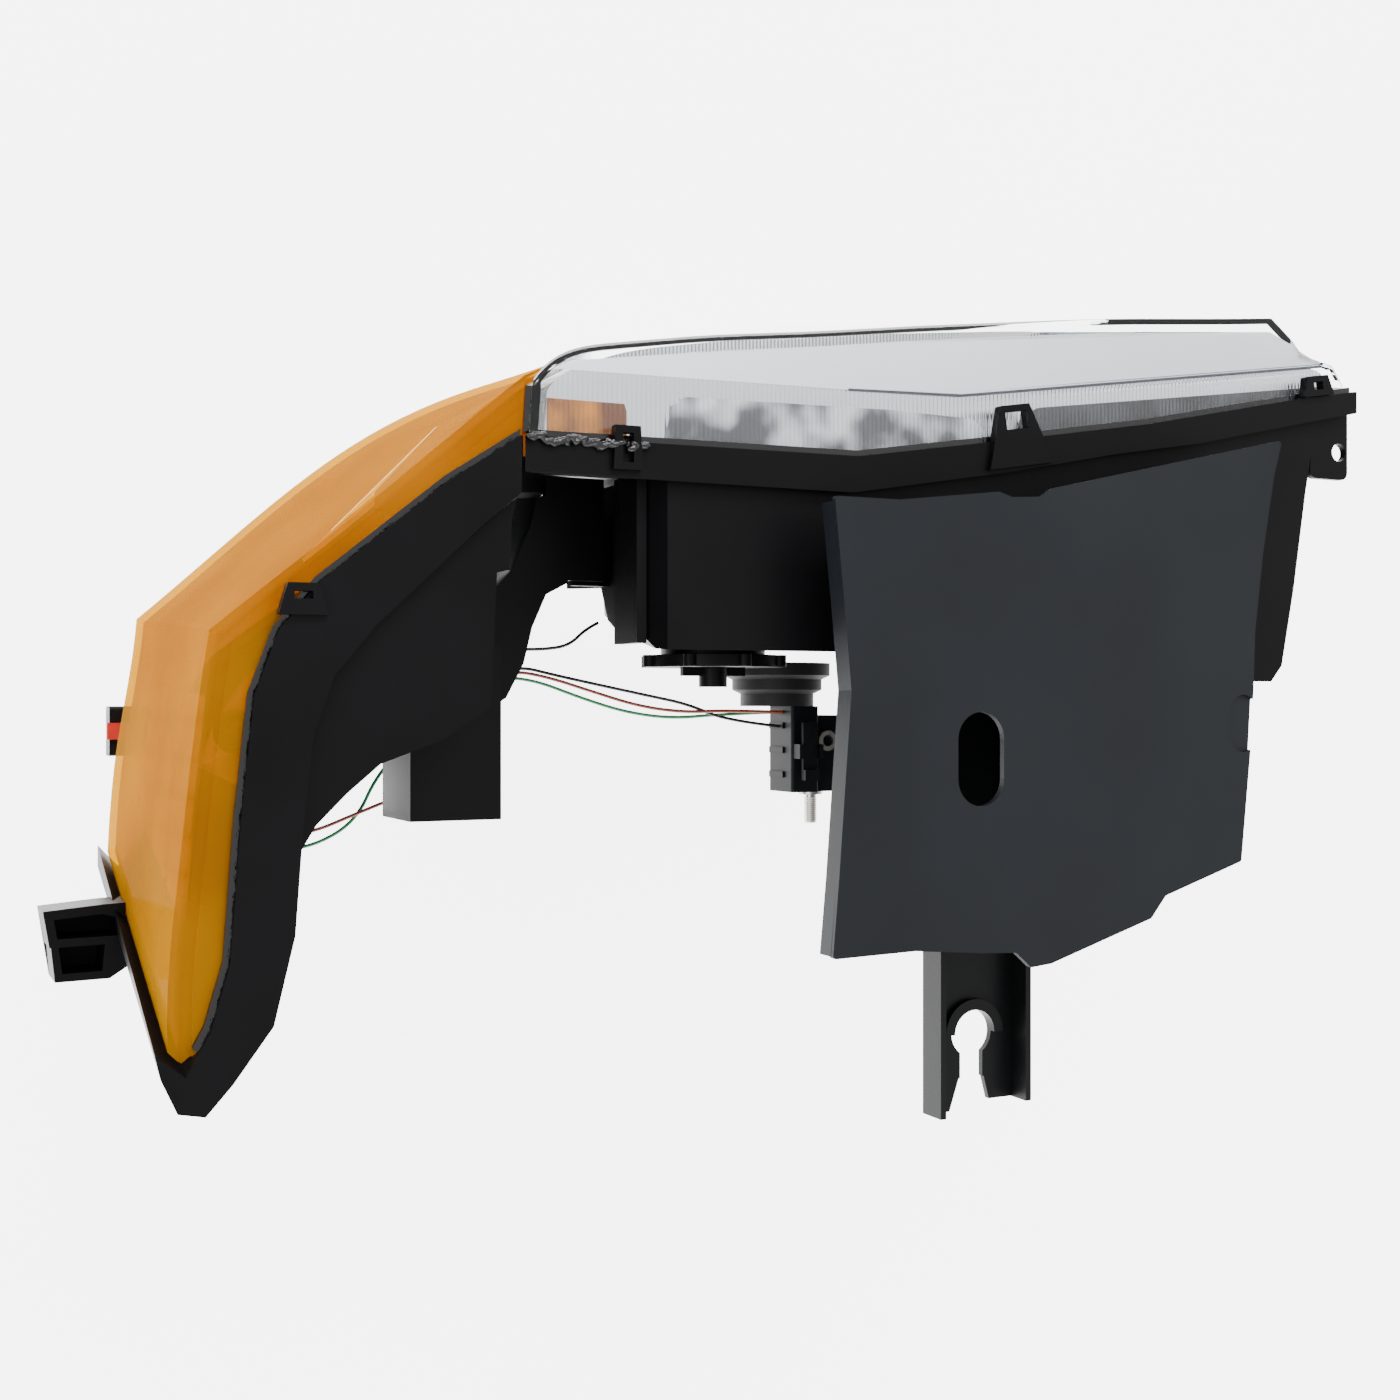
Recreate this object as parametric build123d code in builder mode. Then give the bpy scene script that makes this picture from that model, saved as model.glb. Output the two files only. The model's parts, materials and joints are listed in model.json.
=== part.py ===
"""Truck headlamp with a wrap-around turn signal, built as separate pieces.

Frame, in millimetres: the origin is the centre of the inboard tab's bolt hole. +X points outboard, +Y points
rearwards into the engine bay, and +Z points up. The lenses face -Y, and the turn signal wraps round to +X.
"""

import math
import os

from build123d import *

# ---------------------------------------------------------------- driving dimensions
LENS_TOP, LENS_BOTTOM = 5.0, -190.0  # heights that every plan outline is given at
LENS_WALL = 3.0
SEAT_GAP = 0.3  # between a lens skirt and the housing rim round it
RIM_PROUD = 4.0  # how far the rim's outer face stands outside the lens skirt
SHELL = 3.0  # moulded housing wall
BOWL_TOP, BOWL_BOTTOM = 3.0, -184.0  # outer faces of the headlamp housing behind its rim

LOW_X, HIGH_X, BEAM_Z = 277.0, 112.0, -92.0  # axes of the two mirror bowls
MOUTH_R, MOUTH_Y, APEX_Y = 76.0, 6.0, 76.0
BOWL_WALL = 2.0
BULB_BORE_R = 12.0
RUNNING = 0.05  # radial clearance of a shaft or a ball that turns

PIVOT = (100.0, 85.0, -22.0)  # centre of the fixed ball
HORIZONTAL = (262.0, 85.0, -22.0)  # centre of the ball that swings the beam sideways
VERTICAL = (100.0, 85.0, -165.0)  # centre of the ball that tips the beam
BALL_R, BALL_PLAY = 5.0, 0.5
LINER_R, CUP_R = 7.0, 10.0
MOUTH_OF_CUP = 2.5  # the cups are cut off this far behind the ball's centre
STUD_R = 3.0

SHIELD_Z, SHIELD_T = 33.0, 3.0
LIP_DROP = 8.0
SHIELD_POSTS = [(112, 40), (296, 62), (116, 96), (292, 94)]
SLOT = (245.5, 152.7)
SLOT_WIDTH, SLOT_LENGTH = 24.0, 41.0
BRACKET_Z, BRACKET_T = -20.0, 3.0
CHANNEL_Z, CHANNEL_H = -120.0, 26.0  # top and height of the channel beside the wing
KEYHOLE = (214.0, 283.0)
KEYHOLE_R, KEYHOLE_SLOT = 11.0, 12.5
TAB_HOLE_R, TAB_T = 4.6, 3.5
JOINT_SCREWS = [(391, 53), (391, 69)]
BRACKET_SCREWS = (200.5, 227.0)
SCREW_R, SCREW_HEAD_R, SCREW_HEAD_H = 2.4, 5.0, 3.0
LOOP_LIFT, LOOP_T = 2.2, 4.5  # the snap loops' height above the lens, and their thickness
BEVEL_X = 380.0  # where the bevel of the headlamp housing's outboard edge meets its top
PANEL_X = 377.0
SERVICE_CAP = (330.0, -56.0)  # x and z of the round cap on the rear wall
SERVICE_CAP_R = 32.0
BOOT_R = 26.0
TURN_SOCKET = (463.0, 129.0, -150.0)  # where the turn signal socket meets its boss behind the wing
TURN_AXIS = (-0.5, 0.866, 0.0)
MARKER = (523.0, 142.0, -197.0)  # where the side marker socket meets its boss below the wing
PLUG_Y = 130.0  # the low beam plug's front face
PLUG_LENGTH = 42.0
PLUG_SHIFT = -9.5  # from the beam axis to the middle of the plug
WIRE_R = 0.8
EARTH_GROMMET, EARTH_AXIS = (435.0, 103.0, -118.0), (-0.70, 0.714, 0.0)
SIGNAL_GROMMET, SIGNAL_AXIS = (532.2, 185.5, -115.0), (-0.98, 0.2, 0.0)

# ---------------------------------------------------------------- plan outlines
# Each outline is a closed loop of groups, anticlockwise or clockwise alike. A group is
# (kind, points at LENS_TOP, points at LENS_BOTTOM) and starts where the group before it ended.
CLEAR_LENS = [
    (
        "curve",
        [(441, -2), (429, -13), (403, -20), (366, -26), (318, -32), (267, -39), (213, -46),
         (156, -53), (95, -59),
         (45, -64)],
        [(337, -58), (327, -62), (310, -67), (285, -72), (255, -77), (220, -82), (180, -87),
         (135, -92), (90, -97),
         (45, -101)],
    ),
    ("line", [(31, -54), (24, -47), (6, -44), (0, -36)], [(31, -91), (24, -84), (6, -81), (0, -73)]),
    ("line", [(0, -20)], [(0, -46)]),
    ("line", [(300, 30), (443, 30)], [(270, 5), (338, 5)]),
    ("line", [(441, -2)], [(337, -58)]),
]
AMBER_LENS = [
    (
        "curve",
        [(444.5, -3), (470, 18.5), (495, 40), (520, 61.5), (545, 82), (568, 101)],
        [(340.5, -57), (372, -43), (413, -27), (459, -2), (523, 50), (566, 89)],
    ),
    (
        "curve",
        [(573, 135), (578.5, 185), (583, 235), (583, 256)],
        [(570, 120), (575, 150), (578, 180), (579, 198)],
    ),
    ("line", [(578, 261)], [(575, 203)]),
    (
        "line",
        [(570, 255), (563, 228), (558, 171), (554, 126), (542, 103), (505, 71), (476, 48), (446.5, 30)],
        [(566, 201), (560, 188), (555, 168), (549, 138), (535, 115), (480, 70), (420, 32), (341.5, 5)],
    ),
    ("line", [(444.5, -3)], [(340.5, -57)]),
]
HEADLAMP_RIM = [
    (
        "line",
        [(443.5, 21), (290, 20), (215, 8.5), (130, -5), (30, -25), (-5, -31)],
        [(339, -4), (258, -4), (190, -15), (115, -29), (25, -51), (-5, -57)],
    ),
    ("line", [(-5, -20)], [(-5, -46)]),
    (
        "line",
        [(52, -8), (98, 2), (150, 10.5), (211, 22.5), (293, 36), (443.5, 35.5)],
        [(45, -34), (88, -24), (130, -14), (190, -3), (256, 11), (339, 11)],
    ),
    ("line", [(443.5, 21)], [(339, -4)]),
]
HEADLAMP_BOWL = [
    (
        "line",
        [(402, 31), (293, 32), (211, 18.5), (150, 7), (98, -2), (50, -12), (16, -19)],
        [(333, 6), (256, 7), (190, -7), (130, -18), (88, -28), (45, -38), (14, -44)],
    ),
    (
        "line",
        [(24, 22), (32, 71), (40, 110), (47, 118), (74, 118)],
        [(22, -2), (29, 47), (36, 86), (43, 96), (60, 98)],
    ),
    ("line", [(300, 106), (386, 106)], [(250, 92), (318, 92)]),
    ("line", [(396, 96), (402, 31)], [(328, 82), (333, 6)]),
]
TURN_RIM = [
    (
        "line",
        [(445, 21), (476, 41), (527, 82), (543, 101), (552, 125), (557, 171), (561, 224), (568, 248),
         (577, 264)],
        [(340, -4), (400, 20), (470, 62), (530, 108), (546, 135), (553, 165), (558, 186), (565, 198),
         (574, 206)],
    ),
    ("line", [(588, 255), (586, 264), (580, 277), (570, 279)], [(583, 196), (583, 206), (577, 216),
    (568, 217)]),
    (
        "line",
        [(560, 268), (545, 248), (537, 215), (534, 175), (530, 140), (522, 118), (505, 98), (462, 58),
         (445, 44)],
        [(558, 212), (540, 205), (533, 190), (528, 170), (522, 148), (508, 128), (450, 80), (385, 41),
         (340, 17)],
    ),
    ("line", [(445, 21)], [(340, -4)]),
]
TURN_BOWL = [
    (
        "line",
        [(445, 36), (476, 48), (522, 88), (538, 110), (545, 135), (550, 175), (554, 222), (560, 246),
         (567, 262)],
        [(346, 9), (400, 28), (465, 70), (520, 112), (538, 140), (545, 165), (550, 186), (556, 198),
         (562, 206)],
    ),
    ("line", [(561, 266), (557, 240)], [(556, 211), (551, 196)]),
    (
        "line",
        [(549, 213), (543, 202), (537, 190), (528, 175), (516, 163), (503, 152), (478, 143),
         (458, 130), (456, 76),
         (451, 75), (450, 54)],
        [(540, 182), (533, 173), (526, 164), (512, 151), (494, 139), (478, 128), (457, 114), (437, 102.5),
         (401.6, 98.2), (380, 64), (352, 44)],
    ),
    ("line", [(445, 36)], [(346, 9)]),
]
TURN_MIRROR = [
    (
        "line",
        [(455, 49), (476, 60), (520, 97), (536, 116), (542, 137), (546, 165)],
        [(357, 20), (400, 40), (465, 79), (517, 116), (533, 140), (539, 158)],
    ),
    (
        "line",
        [(525, 163), (498, 143), (467, 127), (463, 100), (463, 84), (458, 64)],
        [(527, 155), (510, 140), (482, 122), (445, 98), (410, 86), (370, 49)],
    ),
    ("line", [(455, 49)], [(357, 20)]),
]
WEB = [  # the plate that joins the wing to the headlamp housing, seen from above
    (446, 40), (412, 37), (406, 41), (404, 56), (401, 75), (411.5, 80.5), (418, 95), (422, 111), (430, 126),
    (437.5, 131), (450, 132), (466, 110),
]
WEB_Z = -57.0


def at_height(points_top, points_bottom, z):
    """Points between the two given levels, or beyond them, at height z."""
    share = (LENS_TOP - z) / (LENS_TOP - LENS_BOTTOM)
    return [(a + (c - a) * share, b + (d - b) * share) for (a, b), (c, d) in zip(points_top, points_bottom)]


def moved_edges(points, gaps):
    """The closed polygon with each edge moved inwards by its own gap."""
    count = len(points)
    after = points[1:] + points[:1]
    area = sum(x0 * y1 - x1 * y0 for (x0, y0), (x1, y1) in zip(points, after))
    side = 1 if area > 0 else -1
    lines = []
    for i in range(count):
        (x0, y0), (x1, y1) = points[i], after[i]
        length = math.hypot(x1 - x0, y1 - y0)
        nx, ny = -(y1 - y0) / length * side, (x1 - x0) / length * side
        lines.append((nx, ny, nx * x0 + ny * y0 + gaps[i]))
    moved = []
    for i in range(count):
        (a, b, c), (d, e, f) = lines[i - 1], lines[i]
        det = a * e - b * d
        if abs(det) < 1e-3:
            moved.append((points[i][0] + gaps[i] * d, points[i][1] + gaps[i] * e))
        else:
            moved.append(((c * e - b * f) / det, (a * f - c * d) / det))
    return moved


def plan_points(outline, z, gaps):
    """All points of an outline at height z, its groups' edges moved inwards by the groups' gaps."""
    points, edge_gaps, start = [], [], None
    for (_, top, bottom), gap in zip(outline, gaps):
        here = at_height(top, bottom, z)
        edges = len(here) if start is not None else len(here) - 1
        points += here
        edge_gaps += [gap] * edges
        start = here[-1]
    closed = math.dist(points[0], points[-1]) < 1e-6
    if closed:
        points = points[:-1]
    else:
        edge_gaps.append(gaps[-1])
    return moved_edges(points, edge_gaps)


def slab(outline, z_low, z_high, gaps=None, top_gaps=None):
    """The solid between two heights that follows an outline, which changes evenly with height."""
    gaps = gaps or [0] * len(outline)
    with BuildPart(mode=Mode.PRIVATE) as body:
        for z, inset in ((z_low, gaps), (z_high, top_gaps or gaps)):
            points = plan_points(outline, z, inset)
            with BuildSketch(Plane.XY.offset(z)):
                with BuildLine():
                    first = 0
                    for index, (kind, top, _) in enumerate(outline):
                        last = first + len(top) - (1 if index == 0 else 0)
                        run = [points[i % len(points)] for i in range(first, min(last, len(points)) + 1)]
                        if kind == "curve":
                            Spline(*run)
                        elif len(run) > 1:
                            Polyline(*run)
                        first = last
                    if first < len(points):
                        Line(points[first], points[0])
                make_face()
        loft(ruled=True)
    return body.part


def block(x, y, z, mode=Mode.ADD):
    """A box between two values on each axis, in the part being built."""
    with Locations(((x[0] + x[1]) / 2, (y[0] + y[1]) / 2, (z[0] + z[1]) / 2)):
        Box(x[1] - x[0], y[1] - y[0], z[1] - z[0], mode=mode)


def drum(start, direction, radius, length, mode=Mode.ADD, top_radius=None):
    """A cylinder or cone that grows from a point in a direction, in the part being built."""
    low = (Align.CENTER, Align.CENTER, Align.MIN)
    with Locations(Plane(origin=start, z_dir=direction)):
        if top_radius is None:
            Cylinder(radius, length, align=low, mode=mode)
        else:
            Cone(radius, top_radius, length, align=low, mode=mode)


def ball(centre, radius, mode=Mode.ADD):
    with Locations(centre):
        Sphere(radius, mode=mode)


def plate(points, z_low, z_high, corner=0.0):
    """A flat plate with a polygon outline, its upright edges rounded."""
    with BuildPart(mode=Mode.PRIVATE) as flat:
        with BuildSketch(Plane.XY.offset(z_low)):
            with BuildLine():
                Polyline(*points, close=True)
            make_face()
        extrude(amount=z_high - z_low)
        if corner:
            fillet(flat.edges().filter_by(Axis.Z), corner)
    return flat.part


def section(points, y_low, y_high):
    """A prism along Y with a polygon given in x and z."""
    with BuildPart(mode=Mode.PRIVATE) as prism:
        with BuildSketch(Plane.XZ.offset(-y_high)):
            with BuildLine():
                Polyline(*points, close=True)
            make_face()
        extrude(amount=y_high - y_low)
    return prism.part


def finish(builder, name):
    builder.part.label = name
    export_step(builder.part, f"parts/{name}.step")
    return builder.part


# ---------------------------------------------------------------- lenses
def dome_step(depth, shift):
    """The wedge cut from the lens top in front of its ledge, deepest inboard and fading out outboard."""
    low = LENS_TOP - depth
    wedge = section([(-30, low), (130, low), (250, LENS_TOP + 0.5), (250, 20), (-30, 20)], -130, 40)
    ledge = [(-30, -49 + shift), (6, -45 + shift), (230, -13 + shift), (250, -12 + shift)]
    return wedge & plate(ledge + [(250, -140), (-30, -140)], -40, 40)


def headlamp_lens():
    wall = [LENS_WALL, LENS_WALL, LENS_WALL, -5, LENS_WALL]
    hollow = slab(CLEAR_LENS, LENS_BOTTOM + LENS_WALL, LENS_TOP - LENS_WALL, wall)
    shoulder, brow = LENS_TOP - 3.4, LENS_TOP - 1.2
    with BuildPart() as lens:
        add(slab(CLEAR_LENS, LENS_BOTTOM, shoulder))
        add(slab(CLEAR_LENS, shoulder, brow, None, [1.0, 1.0, 0, 0, 0]))
        add(slab(CLEAR_LENS, brow, LENS_TOP, [1.0, 1.0, 0, 0, 0], [2.8, 2.8, 0, 0, 0]))
        add(dome_step(4.0, 0), mode=Mode.SUBTRACT)
        add(hollow - dome_step(4.0 + LENS_WALL, LENS_WALL), mode=Mode.SUBTRACT)
    return finish(lens, "headlamp_lens")


def turn_signal_lens():
    shell = slab(AMBER_LENS, LENS_BOTTOM, LENS_TOP)
    wall = [LENS_WALL, LENS_WALL, LENS_WALL, -5, LENS_WALL]
    hollow = slab(AMBER_LENS, LENS_BOTTOM + LENS_WALL, LENS_TOP - LENS_WALL, wall)
    groove = slab(AMBER_LENS, LENS_TOP - 1.2, LENS_TOP + 1, [4, 4, -1, -9, -1])
    rib = slab(AMBER_LENS, LENS_TOP - 1.2, LENS_TOP + 1, [9, 9, -1, -9, -1])
    with BuildPart() as lens:
        add(shell)
        add(hollow, mode=Mode.SUBTRACT)
        add(groove - rib, mode=Mode.SUBTRACT)
    return finish(lens, "turn_signal_lens")


def sealant(name, lens, rim):
    """The bead squeezed out along the front edge of a rim, lying on the lens skirt."""
    count = len(lens)
    around = slab(lens, LENS_BOTTOM - 2, LENS_TOP + 2, [-2] * (count - 1) + [0.3])
    filled = slab(lens, LENS_BOTTOM, LENS_TOP, [0] * (count - 2) + [-5, -4])
    ahead = slab(rim, LENS_BOTTOM - 9, LENS_TOP + 9, [-2.5] + [-6] * (len(rim) - 1))
    behind = slab(rim, LENS_BOTTOM - 9, LENS_TOP + 9, [0] + [-9] * (len(rim) - 1))
    with BuildPart() as bead:
        add(around - filled)
        add(ahead, mode=Mode.INTERSECT)
        add(behind, mode=Mode.SUBTRACT)
    return finish(bead, name)


def lens_joint_strip():
    strip = [
        ("line", [(441.8, 1), (443.0, 20)], [(337.7, -56), (338.2, -6)]),
        ("line", [(445.3, 20), (444.2, 1)], [(340.6, -6), (340.1, -56)]),
    ]
    with BuildPart() as joint:
        add(slab(strip, LENS_BOTTOM + 1, LENS_TOP - 1))
    return finish(joint, "lens_joint_strip")


# ---------------------------------------------------------------- housings
def snap_loop(x, y, base, tip, height, window, turn=0.0):
    """A moulded loop over a lens catch; the place is the middle of its base, and it reaches towards -Y."""
    along = Vector(1, 0, 0).rotate(Axis.Z, turn)
    with BuildPart(mode=Mode.PRIVATE) as loop:
        with BuildSketch(Plane(origin=(x, y, LENS_TOP + LOOP_LIFT), x_dir=along, z_dir=(0, 0, 1))):
            with BuildLine():
                Polyline((-base / 2, 0), (base / 2, 0), (tip / 2, -height), (-tip / 2, -height), close=True)
            make_face()
            with Locations((0, -height + 3 + window[1] / 2)):
                Rectangle(*window, mode=Mode.SUBTRACT)
        extrude(amount=LOOP_T)
    return loop.part


def headlamp_room(inset):
    """The solid inside the headlamp bowl, inset from its outer face, with its outboard edge bevelled."""
    gaps = [-14 if inset else 0, inset, inset, inset]
    x = BEVEL_X - inset * 1.07
    low = BOWL_TOP - 41
    bevel = section([(x, BOWL_TOP + 1), (x + 18, low), (x + 60, low), (x + 60, 9)], 30, 120)
    return slab(HEADLAMP_BOWL, BOWL_BOTTOM + inset, BOWL_TOP - inset, gaps) - bevel


def side_panel():
    """The upright panel outside the low beam's end of the housing, with two ribs behind it."""
    with BuildPart(mode=Mode.PRIVATE) as panel:
        with BuildSketch(Plane.YZ.offset(PANEL_X)):
            with BuildLine():
                Polyline(
                    (31, -40), (99, -40), (97, -50), (91, -62), (76, -70), (74, -112), (31, -112),
                    close=True,
                )
            make_face()
        extrude(amount=SHELL)
        for y in (38, 68):
            block((345, PANEL_X + 1), (y, y + SHELL), (-112, -60))
    return panel.part


def headlamp_housing():
    skirt_gap = [-SEAT_GAP] * 4 + [-6]
    with BuildPart() as housing:
        add(slab(HEADLAMP_RIM, LENS_BOTTOM - RIM_PROUD, LENS_TOP + RIM_PROUD))
        add(headlamp_room(0))
        for x, y in SHIELD_POSTS:
            drum((x, y, BOWL_TOP - 1), (0, 0, 1), 7.0, SHIELD_Z - BOWL_TOP + 1)
        block((386, 390.5), (32, 103), (-30, -6))
        add(snap_loop(402, 33, 13, 11, 18, (5, 12)))
        add(snap_loop(205.5, 20, 36, 16, 28, (12, 8), 9))
        add(snap_loop(23, -26, 20, 14, 10, (6, 4), 9))
        add(plate([(-6, -25), (17, -23), (20, 14), (-6, 14)], -TAB_T / 2, TAB_T / 2, corner=4))
        add(side_panel())
        block((376, 398), (46, 76), (WEB_Z - 6, WEB_Z - 3))
        for post in (PIVOT, HORIZONTAL, VERTICAL):
            drum((post[0], 98, post[2]), (0, 1, 0), 9.0, 22)
        # The inside: the lens seat, then the room behind it.
        add(slab(CLEAR_LENS, LENS_BOTTOM - SEAT_GAP, LENS_TOP + SEAT_GAP, skirt_gap), mode=Mode.SUBTRACT)
        add(headlamp_room(SHELL), mode=Mode.SUBTRACT)
        drum((0, 0, -10), (0, 0, 1), TAB_HOLE_R, 20, Mode.SUBTRACT)
        for x, y in SHIELD_POSTS:
            drum((x, y, SHIELD_Z - 12), (0, 0, 1), SCREW_R, 20, Mode.SUBTRACT)
        for x in (LOW_X, HIGH_X):
            drum((x, 80, BEAM_Z), (0, 1, 0), BOOT_R - 5, 60, Mode.SUBTRACT)
        drum((SERVICE_CAP[0], 80, SERVICE_CAP[1]), (0, 1, 0), SERVICE_CAP_R - 6, 60, Mode.SUBTRACT)
        for post in (PIVOT, HORIZONTAL, VERTICAL):
            drum((post[0], 80, post[2]), (0, 1, 0), STUD_R + RUNNING, 60, Mode.SUBTRACT)
        for x, y in JOINT_SCREWS:
            drum((x, y, WEB_Z - 10), (0, 0, 1), SCREW_R, 8, Mode.SUBTRACT)
        for x in BRACKET_SCREWS:
            drum((x, 100, BRACKET_Z - 12), (0, 1, 0), SCREW_R, 30, Mode.SUBTRACT)
    return finish(housing, "headlamp_housing")


def turn_signal_housing():
    skirt_gap = [-SEAT_GAP] * 4 + [-6]
    with BuildPart() as housing:
        add(slab(TURN_RIM, LENS_BOTTOM - RIM_PROUD, LENS_TOP + RIM_PROUD))
        add(slab(TURN_BOWL, BOWL_BOTTOM, BOWL_TOP))
        block((437, 477), (104, 178), (-86, -44))
        add(snap_loop(534.5, 95, 19, 12, 12, (7, 3)))
        add(plate(WEB, WEB_Z - SHELL, WEB_Z))
        block((384, 408), (42, 74), (WEB_Z - SHELL, WEB_Z))
        block((384, 412), (28.3, 44), (WEB_Z - SHELL, WEB_Z))
        drum(tuple(Vector(*TURN_SOCKET) - Vector(*TURN_AXIS) * 12), TURN_AXIS, 18.0, 12)
        drum(MARKER, (0, 0, 1), 15.0, 14)
        add(slab(AMBER_LENS, LENS_BOTTOM - SEAT_GAP, LENS_TOP + SEAT_GAP, skirt_gap), mode=Mode.SUBTRACT)
        gaps = [-12, SHELL, SHELL, SHELL]
        add(slab(TURN_BOWL, BOWL_BOTTOM + SHELL, BOWL_TOP - SHELL, gaps), mode=Mode.SUBTRACT)
        block((440, 474), (140, 190), (-83, -47), Mode.SUBTRACT)
        drum(tuple(Vector(*TURN_SOCKET) - Vector(*TURN_AXIS) * 16), TURN_AXIS, 13.0, 40, Mode.SUBTRACT)
        drum((MARKER[0], MARKER[1], MARKER[2] - 5), (0, 0, 1), 9.5, 25, Mode.SUBTRACT)
        for x, y in JOINT_SCREWS:
            drum((x, y, WEB_Z - 10), (0, 0, 1), SCREW_R, 9, Mode.SUBTRACT)
    return finish(housing, "turn_signal_housing")


# ---------------------------------------------------------------- bezel and reflectors
def headlamp_bezel():
    tray = slab(CLEAR_LENS, LENS_BOTTOM + 5, LENS_TOP - 8, [7, 5, 5, 1, 5])
    inside = slab(CLEAR_LENS, LENS_BOTTOM + 7, LENS_TOP - 10, [5, 7, 7, -3, 7])
    with BuildPart() as bezel:
        add(tray)
        add(inside, mode=Mode.SUBTRACT)
        with BuildPart(mode=Mode.PRIVATE) as front:
            add(tray)
            block((8, 400), (-14, -12), (-200, 10), Mode.INTERSECT)
            for x in (LOW_X, HIGH_X):
                drum((x, -30, BEAM_Z), (0, 1, 0), MOUTH_R - 2, 40, Mode.SUBTRACT)
        add(front.part)
    return finish(bezel, "headlamp_bezel")


def mirror_bowl(x, depth_of_wall):
    """The solid inside a bowl, or inside its outer face when a wall is given, as a turned parabola."""
    reach = MOUTH_R + depth_of_wall
    apex = APEX_Y + depth_of_wall
    plane = Plane(origin=(x, 0, BEAM_Z), x_dir=(1, 0, 0), z_dir=(0, 0, 1))
    with BuildPart(mode=Mode.PRIVATE) as bowl:
        with BuildSketch(plane):
            with BuildLine():
                Bezier((0, apex), (reach / 2, apex), (reach, MOUTH_Y))
                Line((reach, MOUTH_Y), (reach, MOUTH_Y - 6))
                Line((reach, MOUTH_Y - 6), (0, MOUTH_Y - 6))
                Line((0, MOUTH_Y - 6), (0, apex))
            make_face()
        revolve(axis=Axis((x, 0, BEAM_Z), (0, 1, 0)))
    return bowl.part


def reflector():
    with BuildPart() as mirror:
        for x in (LOW_X, HIGH_X):
            add(mirror_bowl(x, BOWL_WALL))
        for x in (LOW_X, HIGH_X):
            drum((x, MOUTH_Y, BEAM_Z), (0, 1, 0), MOUTH_R + 2.2, 2)
            drum((x, 66, BEAM_Z), (0, 1, 0), 22, 12.5)
        block((HIGH_X, LOW_X), (MOUTH_Y, MOUTH_Y + 2), (BEAM_Z - 79, BEAM_Z + 79))
        for socket in (PIVOT, HORIZONTAL, VERTICAL):
            drum((socket[0], MOUTH_Y, socket[2]), (0, 1, 0), 8, 74)
            ball(socket, CUP_R)
        for socket in (PIVOT, HORIZONTAL, VERTICAL):
            drum((socket[0], socket[1] + MOUTH_OF_CUP, socket[2]), (0, 1, 0), 20, 20, Mode.SUBTRACT)
            ball(socket, LINER_R + RUNNING if socket is PIVOT else BALL_R + BALL_PLAY, Mode.SUBTRACT)
        block((-50, 450), (MOUTH_Y - 30, MOUTH_Y), (-250, 50), Mode.SUBTRACT)
        for x in (LOW_X, HIGH_X):
            add(mirror_bowl(x, 0), mode=Mode.SUBTRACT)
            drum((x, 40, BEAM_Z), (0, 1, 0), BULB_BORE_R + RUNNING, 60, Mode.SUBTRACT)
    return finish(mirror, "reflector")


def glare_cap():
    """The cup in front of the low beam bulb, on a stalk that stands on the bowl."""
    with BuildPart() as cap:
        drum((LOW_X, 22, BEAM_Z), (0, 1, 0), 10, 16)
        drum((LOW_X, 24, BEAM_Z), (0, 1, 0), 8.6, 20, Mode.SUBTRACT)
        drum((LOW_X, 30, BEAM_Z - 9.5), (0, 0, -1), 1.2, 52)
        add(mirror_bowl(LOW_X, 0), mode=Mode.INTERSECT)
    return finish(cap, "low_beam_glare_cap")


def bulb(name, x):
    """A bulb's metal and plastic base, which twists in the bowl's bore, and its glass."""
    with BuildPart() as base:
        drum((x, 70, BEAM_Z), (0, 1, 0), BULB_BORE_R, 8.8)
        drum((x, 78.8, BEAM_Z), (0, 1, 0), 16, 2.2)
        drum((x, 81, BEAM_Z), (0, 1, 0), 9, 14)
        for angle in (0, 120, 240):
            lug = Vector(17, 0, 0).rotate(Axis.Y, angle)
            with Locations((x + lug.X, 79.9, BEAM_Z + lug.Z)):
                Box(5, 2.2, 5)
    finish(base, f"{name}_bulb_base")
    with BuildPart() as glass:
        drum((x, 44, BEAM_Z), (0, 1, 0), 5.5, 26)
        ball((x, 44, BEAM_Z), 5.5)
        drum((x, 46, BEAM_Z), (0, 1, 0), 4.5, 24, Mode.SUBTRACT)
        ball((x, 46, BEAM_Z), 4.5, Mode.SUBTRACT)
    finish(glass, f"{name}_bulb_glass")
    with BuildPart() as filament:
        drum((x - 2, 56, BEAM_Z), (1, 0, 0), 0.8, 4)
        for side in (-2, 2):
            drum((x + side, 55.5, BEAM_Z), (0, 1, 0), 0.5, 14.5)
    finish(filament, f"{name}_filament")


def turn_signal_reflector():
    tray = slab(TURN_MIRROR, BOWL_BOTTOM + 6, BOWL_TOP - 6)
    inside = slab(TURN_MIRROR, BOWL_BOTTOM + 8, BOWL_TOP - 8, [-3, 2, 2])
    with BuildPart() as mirror:
        add(tray)
        add(inside, mode=Mode.SUBTRACT)
        drum(tuple(Vector(*TURN_SOCKET) - Vector(*TURN_AXIS) * 28), TURN_AXIS, 13.5, 40, Mode.SUBTRACT)
        drum((MARKER[0], MARKER[1], MARKER[2] - 5), (0, 0, 1), 10.5, 35, Mode.SUBTRACT)
    return finish(mirror, "turn_signal_reflector")


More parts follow.
